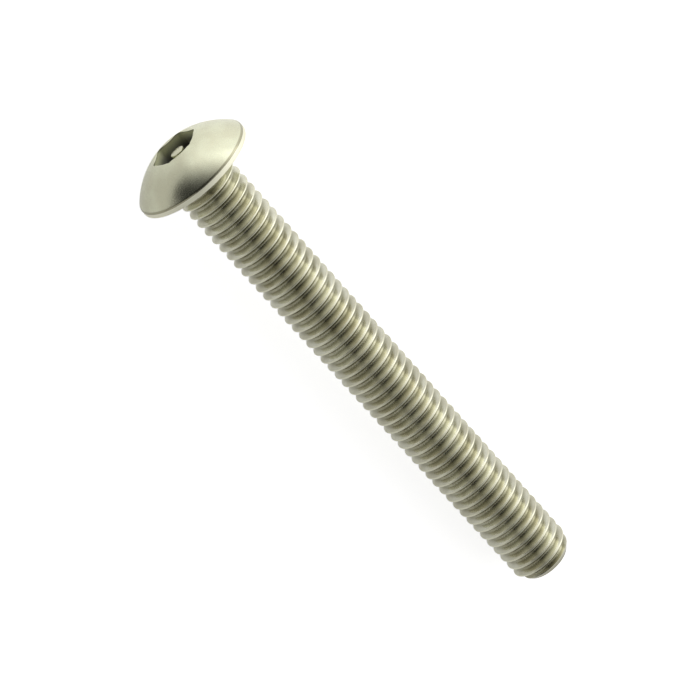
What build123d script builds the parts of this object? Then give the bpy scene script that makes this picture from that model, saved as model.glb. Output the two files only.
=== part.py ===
from build123d import *
import math
import os

# Button head screw, M3 x 25, with a hexagon socket that has a centre pin. Millimetres.
# It is one piece of stainless steel wire: the head and the socket are pressed cold, and the
# thread is rolled on. The shank is drawn plain, at the diameter over the thread's crests.
# The screw's own axis runs from its point (low) to its crown (high), with 0 under the head.

# Shank
shank_length = 25.0
crest_dia = 2.93
neck_dia = 2.60
neck_length = 0.40
point_dia = 2.20
point_length = 0.45

# Head
head_dia = 5.6
crown_height = 1.60
rim_height = 0.28
rim_shoulder = 0.16
rim_round = 0.06
under_head_round = 0.20

# Socket and its pin
across_flats = 2.02
corner_round = 0.16
mouth_dia = 2.22
mouth_angle = 140
socket_floor = 0.35
pin_dia = 0.66
pin_top = 1.22
pin_bevel = 0.05

head_radius = head_dia / 2
crest_radius = crest_dia / 2
neck_radius = neck_dia / 2
point_radius = point_dia / 2
shoulder_end = -neck_length - (crest_radius - neck_radius)
point_start = point_length - shank_length

# The crown is part of a sphere that passes through the apex and the top of the rim
crown_rise = crown_height - rim_height
crown_radius = (head_radius**2 + crown_rise**2) / (2 * crown_rise)
crown_centre = crown_height - crown_radius
mouth_radius = mouth_dia / 2
mouth_height = crown_centre + math.sqrt(crown_radius**2 - mouth_radius**2)
mouth_slope = math.tan(math.radians((180 - mouth_angle) / 2))

# The screw lies on the lower edge of its rim and on the last full crest of its thread,
# so its axis leans down towards the point.
rest_run = rim_round - point_start
rest_rise = head_radius - rim_round - crest_radius
rest_span = math.hypot(rest_run, rest_rise)
lean = math.atan2(rest_rise, rest_run) + math.asin(rim_round / rest_span)
axis_height = crest_radius * math.cos(lean) - point_start * math.sin(lean)
overall_length = shank_length + mouth_height
under_head_x = -(overall_length / 2 - mouth_height) * math.cos(lean)

screw_plane = Plane(
    origin=(under_head_x, 0, axis_height),
    x_dir=(math.sin(lean), 0, math.cos(lean)),
    z_dir=(-math.cos(lean), 0, math.sin(lean)),
)
screw_axis = Axis(screw_plane.origin, screw_plane.z_dir)
half_section = Plane(
    origin=screw_plane.origin,
    x_dir=screw_plane.x_dir,
    z_dir=-screw_plane.y_dir,
)

with BuildPart() as screw:
    # Head and shank are turned from one half section: across is radius, up is the axis
    with BuildSketch(half_section) as outline:
        with BuildLine():
            RadiusArc((0, crown_height), (head_radius, rim_height), crown_radius)
            Polyline(
                (head_radius, rim_height),
                (head_radius, 0),
                (neck_radius, 0),
                (neck_radius, -neck_length),
                (crest_radius, shoulder_end),
                (crest_radius, point_start),
                (point_radius, -shank_length),
                (0, -shank_length),
                (0, crown_height),
            )
        make_face()
        rim_top = outline.vertices().sort_by_distance((head_radius, rim_height))[0]
        fillet(rim_top, rim_shoulder)
        rim_foot = outline.vertices().sort_by_distance((head_radius, 0))[0]
        fillet(rim_foot, rim_round)
        under_head = outline.vertices().sort_by_distance((neck_radius, 0))[0]
        fillet(under_head, under_head_round)
    revolve(axis=screw_axis)

    # The socket's mouth is broken by a shallow cone, which leaves a round edge on the crown
    with BuildSketch(half_section):
        with BuildLine():
            Polyline(
                (0, mouth_height - mouth_radius * mouth_slope),
                (mouth_dia, mouth_height + mouth_radius * mouth_slope),
                (0, mouth_height + mouth_radius * mouth_slope),
                close=True,
            )
        make_face()
    revolve(axis=screw_axis, mode=Mode.SUBTRACT)

    # Two corners of the hexagon point sideways as the screw lies
    with BuildSketch(screw_plane.offset(socket_floor)) as hexagon:
        RegularPolygon(across_flats / 2, side_count=6, major_radius=False, rotation=30)
        fillet(hexagon.vertices(), corner_round)
    extrude(amount=crown_height, mode=Mode.SUBTRACT)

    # The pin stands on the socket's floor, a little below the mouth
    with BuildSketch(screw_plane.offset(socket_floor)):
        Circle(pin_dia / 2)
    extrude(amount=pin_top - socket_floor)
    pin_edge = screw.edges().filter_by(GeomType.CIRCLE).sort_by_distance(
        screw_plane.from_local_coords((0, 0, pin_top))
    )[0]
    chamfer(pin_edge, pin_bevel)

screw.part.label = "screw"

os.makedirs("parts", exist_ok=True)
export_step(screw.part, "parts/screw.step")
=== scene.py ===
import math

import bmesh
import bpy
from mathutils import Matrix, Vector


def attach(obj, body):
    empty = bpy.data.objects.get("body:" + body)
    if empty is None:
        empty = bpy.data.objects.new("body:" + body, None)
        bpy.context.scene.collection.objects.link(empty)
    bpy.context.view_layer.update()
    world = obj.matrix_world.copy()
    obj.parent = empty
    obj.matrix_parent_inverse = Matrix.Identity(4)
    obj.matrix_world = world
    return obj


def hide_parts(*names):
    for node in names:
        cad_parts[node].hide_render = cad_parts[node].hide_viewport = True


# Button head screw, M3 x 25, with a hexagon socket that has a centre pin.
# The screw is modelled upright in millimetres, with the crown up and 0 under the head, and is
# then laid down where the CAD solid lies. The rolled thread is made here, at its full form.

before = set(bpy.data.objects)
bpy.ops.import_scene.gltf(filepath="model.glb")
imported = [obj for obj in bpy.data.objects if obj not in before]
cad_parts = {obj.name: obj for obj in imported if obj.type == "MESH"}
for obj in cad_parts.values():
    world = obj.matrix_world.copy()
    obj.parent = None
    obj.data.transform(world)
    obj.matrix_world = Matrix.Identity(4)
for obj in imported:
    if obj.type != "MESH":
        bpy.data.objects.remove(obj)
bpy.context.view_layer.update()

MM = 0.001

# Shank and thread
SHANK_LENGTH = 25.0
CREST_RADIUS = 1.465
ROOT_RADIUS = 1.175
BLANK_RADIUS = 1.30
PITCH = 0.5
CREST_ROUND = 0.040
ROOT_ROUND = 0.103
FLANK_TURN = 60
ARC_STEPS = 4
STEPS_PER_TURN = 72
NECK_END = -0.40
FULL_THREAD = -0.62
POINT_RADIUS = 1.10
POINT_LENGTH = 0.45

# The thread is spun longer than the shank, from a crest 51 pitches below the one at the neck.
# It is then cut square to the axis at both ends, just short of the neck and of the end face.
TOP_CREST = -0.343
TURNS_DOWN = 51
THREAD_TOP = NECK_END - 0.02
THREAD_FOOT = 0.008 - SHANK_LENGTH
END_FACE_RADIUS = POINT_RADIUS - 0.004

# Head
HEAD_RADIUS = 2.8
CROWN_HEIGHT = 1.60
RIM_HEIGHT = 0.28
RIM_SHOULDER = 0.16
RIM_ROUND = 0.06
UNDER_HEAD_ROUND = 0.20
RING_STEPS = 216
CROWN_RINGS = 24
SHOULDER_STEPS = 7
RIM_STEPS = 6
UNDER_HEAD_STEPS = 8

# Socket and its pin
SOCKET_APOTHEM = 1.01
CORNER_ROUND = 0.16
MOUTH_RADIUS = 1.11
MOUTH_ANGLE = 140
MOUTH_EDGE = 0.012
SOCKET_FLOOR = 0.35
SOCKET_REACH = 1.145
PIN_RADIUS = 0.33
PIN_TOP = 1.22
PIN_BEVEL = 0.05
PIN_BREAK = PIN_BEVEL * 0.3

# How near points are that count as one: from turn to turn of the thread, on a cut, and in the
# whole screw. How near an edge is to a height to be at it, and the bend of an edge, in
# degrees, past which it is shaded sharp.
TURN_WELD = 0.0005
CUT_WELD = 0.0001
WELD = 0.0002
SAME_HEIGHT = 0.005
SHARP_ANGLE = 32

CROWN_RISE = CROWN_HEIGHT - RIM_HEIGHT
CROWN_RADIUS = (HEAD_RADIUS ** 2 + CROWN_RISE ** 2) / (2 * CROWN_RISE)
CROWN_CENTRE = CROWN_HEIGHT - CROWN_RADIUS
MOUTH_HEIGHT = CROWN_CENTRE + math.sqrt(CROWN_RADIUS ** 2 - MOUTH_RADIUS ** 2)
MOUTH_SLOPE = math.tan(math.radians((180 - MOUTH_ANGLE) / 2))

# Half of the angle that one of the socket's six flats takes, and the flats' round corners
HALF_FLAT = math.pi / 6
CORNER_CENTRE = (SOCKET_APOTHEM - CORNER_ROUND) / math.cos(HALF_FLAT)
CORNER_HALF = HALF_FLAT - math.atan2(CORNER_CENTRE / 2, SOCKET_APOTHEM)

# The rim's shoulder is a small arc that runs on from the crown's
SHOULDER_IN = HEAD_RADIUS - RIM_SHOULDER
RIM_TOP = CROWN_CENTRE + math.sqrt((CROWN_RADIUS - RIM_SHOULDER) ** 2 - SHOULDER_IN ** 2)
CROWN_END_ANGLE = math.degrees(math.atan2(RIM_TOP - CROWN_CENTRE, SHOULDER_IN))
CROWN_END = CROWN_RADIUS * math.cos(math.radians(CROWN_END_ANGLE))

# How the screw lies: on the edge of its rim and on the last full crest
POINT_START = POINT_LENGTH - SHANK_LENGTH
REST_RUN = RIM_ROUND - POINT_START
REST_RISE = HEAD_RADIUS - RIM_ROUND - CREST_RADIUS
LEAN = math.atan2(REST_RISE, REST_RUN) + math.asin(RIM_ROUND / math.hypot(REST_RUN, REST_RISE))
AXIS_HEIGHT = CREST_RADIUS * math.cos(LEAN) - POINT_START * math.sin(LEAN)
UNDER_HEAD_X = -((SHANK_LENGTH + MOUTH_HEIGHT) / 2 - MOUTH_HEIGHT) * math.cos(LEAN)
UNDER_HEAD = Vector((UNDER_HEAD_X, 0, AXIS_HEIGHT))
TO_POINT = Vector((math.cos(LEAN), 0, -math.sin(LEAN)))
TO_SIDE = Vector((0, 1, 0))
TO_TOP = Vector((math.sin(LEAN), 0, math.cos(LEAN)))

# The skin of the steel: its grains are about 0.04 mm, drawn a little coarser than they are so
# that they show, and its cloudy patches are about a millimetre
GRAINS_PER_MM = 22
CLOUDS_PER_MM = 0.9
GRAIN_DEPTH = 0.01
GRAIN_STRENGTH = 0.10

# The studio's brightness away from its windows and walls, where 1 is white
ROOM = 0.03

# The paper's own glow, which its diffuse light adds to: to the camera, and in the steel, where
# it is brightest in front of the window at the head and dim in the screw's own shade
WHITE = 0.72
PAPER = 0.40
SHADE = 0.23
WINDOW = 0.42
FLOOR_HALF_WIDTH = 2.0

# The photo's view: its width and focal length in pixels, how far the screw's axis is from the
# line of sight and how far it is turned in the picture, and the spot under the head from the
# camera, in millimetres to the right, down and ahead
PHOTO_WIDTH = 700
FOCAL_LENGTH = 4148
SENSOR_WIDTH = 36
OFF_SIGHT = math.radians(66.29)
TURNED = math.radians(47.84)
FROM_CAMERA = Vector((-6.569, -7.570, 175.491))


def lying_down():
    """From the upright screw in millimetres to its place in metres"""
    turn = Matrix((TO_TOP, TO_SIDE, -TO_POINT)).transposed().to_4x4()
    return Matrix.Scale(MM, 4) @ Matrix.Translation(UNDER_HEAD) @ turn


def crown(radius):
    """Height of the crown, which is part of a sphere"""
    return CROWN_CENTRE + math.sqrt(CROWN_RADIUS ** 2 - radius ** 2)


def on_crown(radius):
    return radius, crown(radius)


def off_flat(angle):
    """Angle from the middle of the nearest flat of the socket; two corners point sideways"""
    return abs((angle + HALF_FLAT) % (2 * HALF_FLAT) - HALF_FLAT)


def hexagon(angle):
    """Outline of the socket: six flats with small round corners"""
    off_corner = HALF_FLAT - off_flat(angle)
    if off_corner > CORNER_HALF:
        return SOCKET_APOTHEM / math.cos(off_flat(angle))
    aside = CORNER_CENTRE * math.sin(off_corner)
    return CORNER_CENTRE * math.cos(off_corner) + math.sqrt(CORNER_ROUND ** 2 - aside ** 2)


def mouth(angle):
    """Outer edge of the shallow countersink, a circle that the six corners just pass"""
    return max(MOUTH_RADIUS, hexagon(angle) + MOUTH_EDGE)


def countersink(radius):
    """Height of the countersink's cone, which meets the crown at the mouth"""
    return min(MOUTH_HEIGHT - (MOUTH_RADIUS - radius) * MOUTH_SLOPE, crown(radius))


def level(radius, height):
    """A round ring: the same radius and height at every angle"""
    return lambda angle: (radius, height)


def put(ring, spot):
    """Moves a ring's points to the radius and height that spot(angle) gives"""
    for vert in {v for edge in ring for v in edge.verts}:
        angle = math.atan2(vert.co.y, vert.co.x)
        radius, height = spot(angle)
        vert.co = (radius * math.cos(angle), radius * math.sin(angle), height)


def grow(bm, ring, spot):
    """Extrudes a ring of edges to a new ring, whose radius and height are spot(angle)"""
    grown = bmesh.ops.extrude_edge_only(bm, edges=ring)["geom"]
    verts = {g for g in grown if isinstance(g, bmesh.types.BMVert)}
    edges = [g for g in grown if isinstance(g, bmesh.types.BMEdge)]
    ring = [e for e in edges if e.verts[0] in verts and e.verts[1] in verts]
    put(ring, spot)
    return ring


def around(bm, ring, centre, radius, start, end, steps):
    """Grows a ring along an arc of the section, from one angle to another in degrees"""
    for step in range(1, steps + 1):
        turn = math.radians(start + (end - start) * step / steps)
        spot = (centre[0] + radius * math.cos(turn), centre[1] + radius * math.sin(turn))
        ring = grow(bm, ring, level(*spot))
    return ring


def open_edges(bm, height):
    """The ring of open edges at a height"""
    return [
        e for e in bm.edges
        if e.is_boundary and all(abs(v.co.z - height) < SAME_HEIGHT for v in e.verts)
    ]


def socket_and_head(bm):
    """From the top of the pin down to the socket's floor, up its wall, and over the crown"""
    top_radius = PIN_RADIUS - PIN_BEVEL
    bmesh.ops.create_circle(bm, cap_ends=True, segments=RING_STEPS, radius=top_radius)
    ring = list(bm.edges)
    put(ring, level(top_radius, PIN_TOP))
    ring = grow(bm, ring, level(PIN_RADIUS - PIN_BREAK, PIN_TOP - PIN_BREAK))
    ring = grow(bm, ring, level(PIN_RADIUS, PIN_TOP - PIN_BEVEL))
    ring = grow(bm, ring, level(PIN_RADIUS, SOCKET_FLOOR))
    ring = grow(bm, ring, lambda a: (hexagon(a), SOCKET_FLOOR))
    soft = MOUTH_EDGE / 2
    ring = grow(bm, ring, lambda a: (hexagon(a), countersink(hexagon(a)) - soft))
    ring = grow(bm, ring, lambda a: (hexagon(a) + soft, countersink(hexagon(a) + soft)))
    ring = grow(bm, ring, lambda a: (mouth(a), countersink(mouth(a)) - soft / 4))
    ring = grow(bm, ring, lambda a: on_crown(mouth(a) + MOUTH_EDGE))

    # The crown, in rings that turn from the hexagon's outline to the round rim
    for step in range(1, CROWN_RINGS + 1):
        share = step / CROWN_RINGS
        ring = grow(bm, ring, lambda a: on_crown(
            (mouth(a) + MOUTH_EDGE) * (1 - share) + CROWN_END * share
        ))
    return ring


def rim_and_neck(bm, ring):
    """Round the rim's two edges, across the bearing face and into the neck"""
    ring = around(bm, ring, (SHOULDER_IN, RIM_TOP), RIM_SHOULDER,
                  CROWN_END_ANGLE, 0, SHOULDER_STEPS)
    ring = grow(bm, ring, level(HEAD_RADIUS, RIM_ROUND))
    ring = around(bm, ring, (HEAD_RADIUS - RIM_ROUND, RIM_ROUND), RIM_ROUND, 0, -90, RIM_STEPS)
    outside = BLANK_RADIUS + UNDER_HEAD_ROUND
    ring = grow(bm, ring, level(outside, 0))
    around(bm, ring, (outside, -UNDER_HEAD_ROUND), UNDER_HEAD_ROUND, 90, 180, UNDER_HEAD_STEPS)


def thread_profile():
    """One pitch of the rolled form, from root to root: radius against height.

    Each flank leans by 30 degrees, so the round crest and the round root turn through the other
    60 to meet it.
    """
    turns = [math.radians(FLANK_TURN * step / ARC_STEPS) for step in range(ARC_STEPS + 1)]
    half = [
        (CREST_RADIUS - CREST_ROUND * (1 - math.cos(turn)), CREST_ROUND * math.sin(turn))
        for turn in turns
    ]
    root = [
        (ROOT_RADIUS + ROOT_ROUND * (1 - math.cos(turn)), PITCH / 2 - ROOT_ROUND * math.sin(turn))
        for turn in reversed(turns)
    ]
    middle = ((half[-1][0] + root[0][0]) / 2, (half[-1][1] + root[0][1]) / 2)
    half += [middle] + root
    return [(radius, -height) for radius, height in reversed(half[1:])] + half


def rolled_thread(bm):
    """A right-hand thread: one pitch of its profile is spun once round, then set turn on turn"""
    start = TOP_CREST - TURNS_DOWN * PITCH
    verts = [bm.verts.new((radius, 0, start + height)) for radius, height in thread_profile()]
    edges = [bm.edges.new(pair) for pair in zip(verts, verts[1:])]
    bmesh.ops.spin(
        bm,
        geom=verts + edges,
        cent=(0, 0, 0),
        axis=(0, 0, 1),
        dvec=(0, 0, PITCH / STEPS_PER_TURN),
        angle=math.tau,
        steps=STEPS_PER_TURN,
        use_merge=False,
        use_duplicate=False,
    )
    # Each copy doubles the thread, up to 64 turns
    for turns in (1, 2, 4, 8, 16, 32):
        more = bmesh.ops.duplicate(bm, geom=bm.verts[:] + bm.edges[:] + bm.faces[:])["geom"]
        moved = [g for g in more if isinstance(g, bmesh.types.BMVert)]
        bmesh.ops.translate(bm, verts=moved, vec=(0, 0, turns * PITCH))
    bmesh.ops.remove_doubles(bm, verts=bm.verts, dist=TURN_WELD)


def shape_thread_ends(bm):
    """The thread runs out to the blank under the head, and is cut back by the point's cone"""
    slope = (CREST_RADIUS - POINT_RADIUS) / POINT_LENGTH
    for vert in bm.verts:
        radius = math.hypot(vert.co.x, vert.co.y)
        full = min(max((NECK_END - vert.co.z) / (NECK_END - FULL_THREAD), 0), 1)
        full = full * full * (3 - 2 * full)
        wanted = BLANK_RADIUS + (radius - BLANK_RADIUS) * full
        cone = POINT_RADIUS + (vert.co.z + SHANK_LENGTH) * slope
        wanted = min(wanted, cone)
        vert.co.x *= wanted / radius
        vert.co.y *= wanted / radius


def trim(bm, height, keep_below):
    """Cuts the thread square to the axis and drops what lies past the cut"""
    bmesh.ops.bisect_plane(
        bm,
        geom=bm.verts[:] + bm.edges[:] + bm.faces[:],
        dist=CUT_WELD,
        plane_co=(0, 0, height),
        plane_no=(0, 0, 1),
        clear_outer=keep_below,
        clear_inner=not keep_below,
    )


def make_object(bm, name, finish):
    """Makes an object at the origin from a finished bmesh"""
    mesh = bpy.data.meshes.new(name)
    bm.to_mesh(mesh)
    bm.free()
    mesh.materials.append(finish)
    made = bpy.data.objects.new(name, mesh)
    bpy.context.scene.collection.objects.link(made)
    return made


def screw_piece(finish):
    bm = bmesh.new()
    rolled_thread(bm)
    shape_thread_ends(bm)
    trim(bm, THREAD_TOP, True)
    trim(bm, THREAD_FOOT, False)
    point = grow(bm, open_edges(bm, THREAD_FOOT), level(END_FACE_RADIUS, -SHANK_LENGTH))
    bmesh.ops.edgeloop_fill(bm, edges=point)

    head = bmesh.new()
    rim_and_neck(head, socket_and_head(head))
    part = bpy.data.meshes.new("head")
    head.to_mesh(part)
    head.free()
    bm.from_mesh(part)
    bpy.data.meshes.remove(part)
    neck = open_edges(bm, -UNDER_HEAD_ROUND)
    bmesh.ops.bridge_loops(bm, edges=neck + open_edges(bm, THREAD_TOP))

    bmesh.ops.remove_doubles(bm, verts=bm.verts, dist=WELD)
    bmesh.ops.recalc_face_normals(bm, faces=bm.faces)
    bmesh.ops.transform(bm, matrix=lying_down(), verts=bm.verts)
    for face in bm.faces:
        face.smooth = True
    screw = make_object(bm, "threaded_screw", finish)
    screw.data.set_sharp_from_angle(angle=math.radians(SHARP_ANGLE))
    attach(screw, "root")
    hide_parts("screw")


def linear(code):
    """An sRGB hex colour as the linear values that a socket takes"""
    parts = [int(code[i:i + 2], 16) / 255 for i in (1, 3, 5)]
    return [c / 12.92 if c <= 0.04045 else ((c + 0.055) / 1.055) ** 2.4 for c in parts] + [1]


def fresh_tree(owner):
    """The emptied node tree of a new material or world"""
    owner.use_nodes = True
    owner.node_tree.nodes.clear()
    return owner.node_tree


def add(tree, kind, inputs=None, **settings):
    """Adds a node with its settings. An input, by name or number, takes another node's output,
    a hex colour or a plain value."""
    node = tree.nodes.new(kind)
    for name, value in settings.items():
        setattr(node, name, value)
    for name, value in (inputs or {}).items():
        if isinstance(value, bpy.types.NodeSocket):
            tree.links.new(value, node.inputs[name])
        else:
            node.inputs[name].default_value = linear(value) if isinstance(value, str) else value
    return node


def tumbled_stainless():
    """Cold headed and thread rolled austenitic stainless, tumbled and passivated.

    It reads as a warm pale grey with a soft satin. The rolled thread's crests are paler, a painted
    highlight, and a little rougher. Towards its roots it is darker, painted shade in the grooves,
    and a little rougher. On the head a fine darker line round the shoulder is a painted dark
    reflection, and the rim below it is a pale band, a painted highlight, and matt. The pressed
    socket is matt too. It goes from a pale tone at its mouth, a painted highlight, to grey in its
    depth, painted shade in the hollow.
    """
    material = bpy.data.materials.new("tumbled_stainless_steel")
    tree = fresh_tree(material)
    spot = add(tree, "ShaderNodeTexCoord").outputs["Object"]

    # Where a point is on the screw: along its axis from under the head towards the point, and
    # out from the axis
    start = Matrix.Rotation(-LEAN, 3, "Y") @ (UNDER_HEAD * MM)
    on_screw = add(tree, "ShaderNodeMapping", {
        "Vector": spot, "Location": -start, "Rotation": (0, -LEAN, 0),
    }).outputs[0]
    along = add(tree, "ShaderNodeSeparateXYZ", {0: on_screw}).outputs["X"]
    flat = add(tree, "ShaderNodeVectorMath", {0: on_screw, 1: (0, 1, 1)}, operation="MULTIPLY")
    out = add(tree, "ShaderNodeVectorMath", {0: flat.outputs[0]}, operation="LENGTH")
    out = out.outputs["Value"]

    grain = add(tree, "ShaderNodeTexNoise", {
        "Vector": spot, "Scale": GRAINS_PER_MM / MM, "Detail": 2,
    }).outputs["Fac"]
    cloud = add(tree, "ShaderNodeTexNoise", {
        "Vector": spot, "Scale": CLOUDS_PER_MM / MM, "Detail": 3,
    }).outputs["Fac"]

    # Smooth ramps between two limits. Most mark a place on the screw, by limits in millimetres
    # and the values there.
    ramps = {}
    for name, source, unit, low, high, at_low, at_high in (
        ("clouds", cloud, 1, 0.35, 0.65, 0, 1),
        ("roughness", grain, 1, 0.3, 0.7, 0.17, 0.22),
        # The crests carry a paler tone, a painted highlight
        ("crest", out, MM, CREST_RADIUS - 0.05, CREST_RADIUS, 0, 1),
        # The roots carry a darker tone, painted shade in the thread's grooves
        ("root", out, MM, ROOT_RADIUS, ROOT_RADIUS + 0.22, 1, 0),
        ("shank", along, MM, 0.15, 0.4, 0, 1),
        ("head", along, MM, -0.02, 0.02, 1, 0),
        # The shoulder's band, less what lies below it, carries a darker line, a painted dark
        # reflection
        ("shoulder", along, MM, -RIM_TOP - 0.13, -RIM_TOP - 0.09, 0, 1),
        ("below_shoulder", along, MM, -RIM_TOP - 0.02, -RIM_TOP + 0.01, 0, 1),
        # The rim, below the shoulder, carries a pale band, a painted highlight, on a rougher
        # surface
        ("rim", out, MM, HEAD_RADIUS - 0.04, HEAD_RADIUS - 0.03, 0, 1),
        ("below_mouth", along, MM, -MOUTH_HEIGHT, -MOUTH_HEIGHT + 0.12, 0, 1),
        ("in_socket", out, MM, SOCKET_REACH, SOCKET_REACH + 0.055, 1, 0),
        ("above_floor", along, MM, -SOCKET_FLOOR + 0.01, -SOCKET_FLOOR + 0.15, 1, 0),
        ("off_pin", out, MM, PIN_RADIUS + 0.005, PIN_RADIUS + 0.02, 0, 1),
        # Depth in the socket, along which its painted shade deepens
        ("depth", along, MM, -SOCKET_FLOOR - 1.0, -SOCKET_FLOOR - 0.4, 0, 1),
    ):
        ramp = add(tree, "ShaderNodeMapRange", {
            "Value": source,
            "From Min": low * unit,
            "From Max": high * unit,
            "To Min": at_low,
            "To Max": at_high,
        }, interpolation_type="SMOOTHSTEP")
        ramps[name] = ramp.outputs["Result"]

    # Places that more than one ramp bounds
    for name, first, operation, second in (
        ("crest", "crest", "MULTIPLY", "shank"),
        ("root", "root", "MULTIPLY", "shank"),
        ("rim", "rim", "MULTIPLY", "below_shoulder"),
        ("shoulder", "shoulder", "SUBTRACT", "below_shoulder"),
        ("shoulder", "shoulder", "MULTIPLY", "head"),
        ("socket", "below_mouth", "MULTIPLY", "in_socket"),
        ("socket", "socket", "MULTIPLY", "above_floor"),
        ("socket", "socket", "MULTIPLY", "off_pin"),
    ):
        joined = add(tree, "ShaderNodeMath", {0: ramps[first], 1: ramps[second]},
                     operation=operation, use_clamp=True)
        ramps[name] = joined.outputs[0]

    # Tones that vary within their place: with the clouds, and in the socket with its depth. The
    # socket's pale tone at the mouth is a painted highlight, and its grey deeper in is painted
    # shade.
    # Painted light in these fixed tones: the crests' pale tone is a painted highlight, the
    # shoulder's darker line is a painted dark reflection, and the rim's pale band is a painted
    # highlight
    tones = {"crest": "#E9E7D0", "shoulder": "#A8A58C", "rim": "#F7F5E0"}
    for place, by, low, high in (
        ("flank", "clouds", "#CCC9B3", "#E0DFCD"),
        # The roots' darker tones are painted shade in the grooves
        ("root", "clouds", "#9A977F", "#AEAC96"),
        ("head", "clouds", "#CECDB3", "#D7D8BE"),
        ("socket", "depth", "#E8E9C8", "#8C8C84"),
    ):
        mix = add(tree, "ShaderNodeMix", {"Factor": ramps[by], "A": low, "B": high},
                  data_type="RGBA")
        tones[place] = mix.outputs["Result"]
    tone = tones["flank"]
    for place in ("root", "crest", "head", "shoulder", "rim", "socket"):
        mix = add(tree, "ShaderNodeMix", {"Factor": ramps[place], "A": tone, "B": tones[place]},
                  data_type="RGBA")
        tone = mix.outputs["Result"]

    # How much rougher each place is than the flanks
    rough = ramps["roughness"]
    for place, more in (
        ("head", 0.06), ("rim", 0.30), ("crest", 0.12), ("socket", 0.50), ("root", 0.06),
    ):
        rough = add(tree, "ShaderNodeMath", {0: ramps[place], 1: more, 2: rough},
                    operation="MULTIPLY_ADD").outputs[0]

    bump = add(tree, "ShaderNodeBump", {
        "Height": grain, "Strength": GRAIN_STRENGTH, "Distance": GRAIN_DEPTH * MM,
    })
    steel = add(tree, "ShaderNodeBsdfPrincipled", {
        "Base Color": tone,
        "Roughness": rough,
        "Normal": bump.outputs["Normal"],
        "Metallic": 1,
    })
    add(tree, "ShaderNodeOutputMaterial", {"Surface": steel.outputs["BSDF"]})
    return material


def white_sweep():
    """Matt white paper under the screw. It reads white to the camera, and in the steel it is
    brighter on the window's side and dimmer on the other, in the screw's shade."""
    material = bpy.data.materials.new("white_paper")
    tree = fresh_tree(material)
    spot = add(tree, "ShaderNodeTexCoord").outputs["Object"]
    spot = add(tree, "ShaderNodeSeparateXYZ", {0: spot}).outputs

    # Across the screw and along it, in millimetres from the middle of its length
    ramps = {}
    for name, way, low, high, at_low, at_high in (
        ("side", "Y", -6, 4, SHADE, PAPER),
        ("window", "Y", -6, 10, 0, 1),
        ("at_head", "X", -16, -6, WINDOW, 0),
    ):
        ramp = add(tree, "ShaderNodeMapRange", {
            "Value": spot[way],
            "From Min": low * MM,
            "From Max": high * MM,
            "To Min": at_low,
            "To Max": at_high,
        }, interpolation_type="SMOOTHSTEP")
        ramps[name] = ramp.outputs["Result"]
    glow = add(tree, "ShaderNodeMath", {
        0: ramps["window"], 1: ramps["at_head"], 2: ramps["side"],
    }, operation="MULTIPLY_ADD")

    rays = add(tree, "ShaderNodeLightPath").outputs
    glow = add(tree, "ShaderNodeMix", {
        "Factor": rays["Is Camera Ray"], "A": glow.outputs[0], "B": WHITE,
    })
    glow = add(tree, "ShaderNodeEmission", {"Strength": glow.outputs[0], "Color": "#FFFFFF"})
    paper = add(tree, "ShaderNodeBsdfDiffuse", {"Color": "#F2F2F2"}).outputs[0]
    bright = add(tree, "ShaderNodeAddShader", {0: paper, 1: glow.outputs[0]})
    seen = rays["Is Camera Ray"]
    for ray in ("Is Glossy Ray", "Is Transmission Ray"):
        seen = add(tree, "ShaderNodeMath", {0: seen, 1: rays[ray]}, operation="MAXIMUM").outputs[0]
    surface = add(tree, "ShaderNodeMixShader", {0: seen, 1: paper, 2: bright.outputs[0]})
    add(tree, "ShaderNodeOutputMaterial", {"Surface": surface.outputs[0]})
    return material


def floor_piece(paper):
    bm = bmesh.new()
    bmesh.ops.create_grid(bm, x_segments=1, y_segments=1, size=FLOOR_HALF_WIDTH)
    make_object(bm, "floor", paper)


def toward(azimuth, elevation):
    """Unit direction, with azimuth from +X towards +Y"""
    flat = math.cos(math.radians(elevation))
    return (
        flat * math.cos(math.radians(azimuth)),
        flat * math.sin(math.radians(azimuth)),
        math.sin(math.radians(elevation)),
    )


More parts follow.
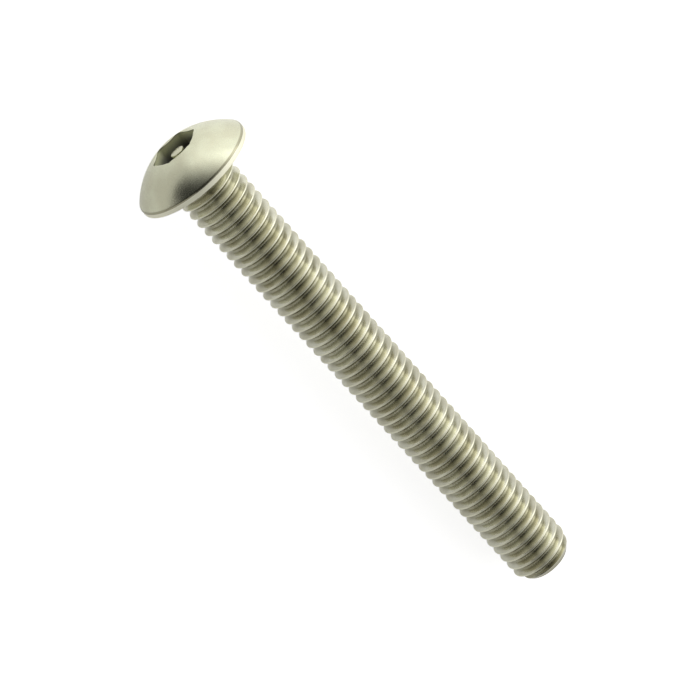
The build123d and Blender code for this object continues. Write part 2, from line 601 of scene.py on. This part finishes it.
def studio_sky():
    """A dim room with soft bright patches.

    Each has the azimuth and elevation of its middle in degrees, the cosines of the angle from
    there at which it starts and at which it is full, and its brightness.
    """
    world = bpy.data.worlds.new("studio")
    bpy.context.scene.world = world
    tree = fresh_tree(world)
    way = add(tree, "ShaderNodeTexCoord").outputs["Generated"]
    light = ROOM
    for azimuth, elevation, edge, full, brightness in (
        (128, -35, 0.039, 0.970, 1.80),  # window, low at the screw's side
        (60, 7, -0.060, 1.300, 1.50),    # wall past its point
        (282, 34, 0.800, 0.860, 0.58),   # panel on the other side
        (345, 60, 0.945, 0.980, 0.26),   # lamp overhead
        (245, -10, 0.780, 0.940, 0.35),  # wall behind its head
    ):
        facing = add(tree, "ShaderNodeVectorMath", {0: way, 1: toward(azimuth, elevation)},
                     operation="DOT_PRODUCT")
        patch = add(tree, "ShaderNodeMapRange", {
            "Value": facing.outputs["Value"],
            "From Min": edge,
            "From Max": full,
            "To Min": 0,
            "To Max": brightness,
        }, interpolation_type="SMOOTHSTEP")
        light = add(tree, "ShaderNodeMath", {0: patch.outputs["Result"], 1: light},
                    operation="ADD").outputs[0]
    sky = add(tree, "ShaderNodeBackground", {"Strength": light, "Color": "#FFFFFF"})
    add(tree, "ShaderNodeOutputWorld", {"Surface": sky.outputs["Background"]})


def camera():
    """Above the head's side of the screw, looking steeply down along it"""
    data = bpy.data.cameras.new("camera")
    data.sensor_width = SENSOR_WIDTH
    data.lens = FOCAL_LENGTH / PHOTO_WIDTH * SENSOR_WIDTH
    data.clip_start = 0.01
    data.clip_end = 10

    # The directions to the screw's point, side and top, as the camera sees them and as they are
    ahead, across = math.cos(OFF_SIGHT), math.sin(OFF_SIGHT)
    right, down = math.cos(TURNED), math.sin(TURNED)
    seen = Matrix((
        (across * right, across * down, ahead),
        (-down, right, 0),
        (ahead * right, ahead * down, -across),
    ))
    real = Matrix((TO_POINT, -TO_SIDE, TO_TOP))
    to_real = real.transposed() @ seen
    place = UNDER_HEAD - to_real @ FROM_CAMERA
    turn = to_real @ Matrix(((1, 0, 0), (0, -1, 0), (0, 0, -1)))
    view = bpy.data.objects.new("camera", data)
    view.matrix_world = Matrix.Translation(place * MM) @ turn.to_4x4()
    bpy.context.scene.collection.objects.link(view)
    bpy.context.scene.camera = view


bpy.context.scene.view_settings.view_transform = "Standard"
camera()
studio_sky()
floor_piece(white_sweep())
screw_piece(tumbled_stainless())
